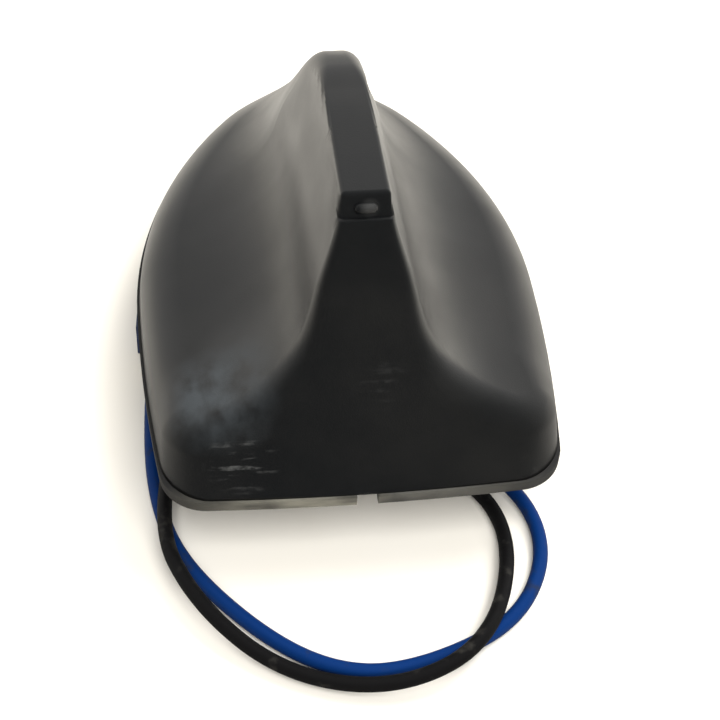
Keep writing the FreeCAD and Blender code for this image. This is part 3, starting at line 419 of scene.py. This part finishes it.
grid = cover_skin()
rays, columns, _ = grid.shape
rib = rib_points()
cover_points = (np.vstack([grid.reshape(-1, 3), rib]) + [0, 0, SEAL_HEIGHT]) * MM
rib_faces = strip_faces(RIB_RINGS, RIB_AROUND, rays * columns)
seam_start = rays * columns + RIB_AROUND * np.arange(RIB_RINGS - 1)
seam_end = seam_start + RIB_AROUND - 1
rib_seam = np.stack([seam_end, seam_start, seam_start + RIB_AROUND, seam_end + RIB_AROUND], 1)
cover_faces = np.vstack([strip_faces(rays, columns, 0, True), rib_faces[:, ::-1], rib_seam])
cover_mesh = bpy.data.meshes.new("cover_skin")
cover_mesh.from_pydata(cover_points.tolist(), [], cover_faces.tolist())
welded = bmesh.new()
welded.from_mesh(cover_mesh)
bmesh.ops.remove_doubles(welded, verts=welded.verts, dist=2e-6)
welded.to_mesh(cover_mesh)
welded.free()
cover_mesh.polygons.foreach_set("use_smooth", np.ones(len(cover_mesh.polygons), dtype=bool))
cover_mesh.materials.append(cover_black)

# Shading normals of the outer skin from the function's slope; all other points keep their own
at = np.empty(3 * len(cover_mesh.vertices))
cover_mesh.vertices.foreach_get("co", at)
at = (at.reshape(-1, 3) / MM - [0, 0, SEAL_HEIGHT]).T
nudge = 0.03 * np.eye(3)[:, :, None]
slope = np.stack([cover_distance(*(at + n)) - cover_distance(*(at - n)) for n in nudge], 1)
slope /= np.linalg.norm(slope, axis=1)[:, None]
slope[(np.abs(cover_distance(*at)) > 0.03) | (at[2] < 0.02)] = 0
cover_mesh.normals_split_custom_set_from_vertices(slope.tolist())
cover = bpy.data.objects.new("cover_skin", cover_mesh)
scene.collection.objects.link(cover)
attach(cover, "root")
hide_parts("cover")


# Cables: thin coaxial cords in soft plastic jackets, gripped by the grommet under the base at one
# end and crimped into a plug at the other; they lie in one loose loop on the table
CABLE_DIAMETER = 3.0
BLACK_ROUTE = [(-2.4, -19.0, -3.6), (-2.4, -34.8, -3.6), (25.0, -46.0, -13.7), (30.2, -63.0, -13.6),
               (20.9, -88.1, -9.6), (1.8, -95.2, -12.2), (-19.0, -88.9, -13.6), (-34.5, -73.6, -10.4),
               (-41.5, -53.2, -10.45), (-36.2, -32.7, -10.45)]
BLUE_ROUTE = [(2.4, -19.0, -3.6), (2.4, -32.4, -3.6), (21.0, -40.5, -10.0), (34.3, -50.0, -13.7),
              (36.6, -66.0, -13.7), (27.5, -81.5, -13.7), (9.0, -89.3, -13.7), (-6.0, -90.2, -13.7),
              (-20.5, -81.8, -13.7), (-36.5, -62.5, -13.7), (-41.2, -45.5, -13.7), (-41.4, -27.0, -11.0),
              (-40.0, -12.2, -11.0)]


def cord_length(points):
    """Length of the curve that a NURBS of order 3 draws: one parabola for each inner point."""
    p = np.array(points, float)
    joints = np.vstack([p[:1], (p[1:-2] + p[2:-1]) / 2, p[-1:]])
    t = np.linspace(0, 1, 200)[:, None]
    bends = zip(joints, p[1:-1], joints[1:])
    runs = [(1 - t) ** 2 * a + 2 * t * (1 - t) * b + t ** 2 * c for a, b, c in bends]
    return sum(np.linalg.norm(np.diff(run, axis=0), axis=1).sum() for run in runs)


def cord(name, route, material, node):
    """A round cord along a route, in place of its CAD node."""
    data = bpy.data.curves.new(name, "CURVE")
    data.dimensions = "3D"
    line = data.splines.new("NURBS")
    line.points.add(len(route) - 1)
    for point, spot_mm in zip(line.points, route):
        point.co = (*(c * MM for c in spot_mm), 1.0)
    line.order_u = 3
    line.use_endpoint_u = True
    line.resolution_u = 16
    data.bevel_depth = CABLE_DIAMETER / 2 * MM
    data.bevel_resolution = 6
    data.use_fill_caps = True
    data.materials.append(material)
    piece = bpy.data.objects.new(name, data)
    scene.collection.objects.link(piece)
    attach(piece, "root")
    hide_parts(node)
    cord_length(route) * MM


black_jacket = worn("black_jacket", (0.006, 0.0058, 0.006), (0.035, 0.033, 0.029), 0.5,
                    patch=260.0, dust=(0.6, 0.78), shine=0.12)
blue_jacket = worn("blue_jacket", (0.0025, 0.026, 0.125), (0.02, 0.026, 0.04), 0.5,
                   patch=260.0, dust=(0.6, 0.78), shine=0.12)
cord("black_cord", BLACK_ROUTE, black_jacket, "black_cable")
cord("blue_cord", BLUE_ROUTE, blue_jacket, "blue_cable")


# Plugs: square housings of hard plastic with a round nose, each with a brass contact inside, held on
# its cable by a crimped metal sleeve
crimp_metal = worn("crimp_metal", (0.6, 0.58, 0.52), (0.42, 0.4, 0.36), 0.3, metal=1.0)
contact_brass = worn("contact_brass", (0.75, 0.55, 0.25), (0.6, 0.45, 0.2), 0.25, metal=1.0)
paint("black_plug", worn("black_plug_plastic", (0.012, 0.012, 0.012), (0.05, 0.048, 0.045), 0.45))
paint("blue_plug", worn("blue_plug_plastic", (0.006, 0.02, 0.085), (0.02, 0.035, 0.08), 0.45))
for colour in ("black", "blue"):
    paint(f"{colour}_crimp", crimp_metal)
    paint(f"{colour}_contact", contact_brass)


# Rim seal and hole seal: soft foam rubber pressed under the base. The rim seal's rear band is drawn paler
# in streaks:
# cream left of the drain notch, greyer right of it
seal_rubber, tree, shader = new_material("seal_rubber")
axes = add(tree, "ShaderNodeSeparateXYZ", {"Vector": place(tree)}).outputs
aside = add(tree, "ShaderNodeMath", {0: axes["X"]}, operation="ABSOLUTE").outputs[0]
streaks = ramp(tree, noise(tree, 90.0, 4.0, (1, 1, 4.0)), 0.3, 0.62, 0.2, 1.0)
near_notch = ramp(tree, aside, 0.036, 0.016, 0.12, 1.0)
paler_rear_band = times(tree, ramp(tree, axes["Y"], -0.055, -0.058), times(tree, near_notch, streaks))
cream = mix(tree, ramp(tree, axes["X"], 0.001, 0.005), (0.22, 0.21, 0.17, 1), (0.1, 0.097, 0.085, 1))
put(tree, mix(tree, paler_rear_band, (0.02, 0.0195, 0.019, 1), cream), shader.inputs["Base Color"])
put(tree, 0.75, shader.inputs["Roughness"])
bump(tree, shader, noise(tree, 900.0), 0.3, 0.2)
paint("rim_seal", seal_rubber)
ring_rubber = worn("ring_rubber", (0.02, 0.02, 0.02), (0.06, 0.06, 0.055), 0.6)
paint("hole_seal", ring_rubber)
paint("cable_grommet", ring_rubber)


# Base and clamp: a die-cast plate with its spigot, drawn down on the roof by a steel claw, washer and
# bolt; steel screws hold the cover and the main board to it
screw_steel = worn("screw_steel", (0.6, 0.6, 0.6), (0.45, 0.44, 0.42), 0.3, metal=1.0)
paint("base_plate", worn("base_metal", (0.45, 0.45, 0.46), (0.35, 0.35, 0.34), 0.45, metal=0.9))
paint("roof_claw", worn("claw_steel", (0.5, 0.5, 0.52), (0.35, 0.35, 0.35), 0.35, metal=1.0))
for node in ("cover_screws", "claw_washer", "clamp_bolt", "board_screws"):
    paint(node, screw_steel)


# Electronics under the cover: green boards, a ceramic satellite patch and a tinned shield can,
# screwed to posts on the base or soldered to the main board
board_green = worn("board_green", (0.02, 0.12, 0.05), (0.04, 0.16, 0.08), 0.35)
paint("main_board", board_green)
paint("phone_blade", board_green)
paint("gps_patch", worn("patch_ceramic", (0.5, 0.42, 0.33), (0.6, 0.52, 0.42), 0.5))
paint("shield_can", worn("can_metal", (0.62, 0.62, 0.6), (0.5, 0.5, 0.48), 0.3, metal=1.0))
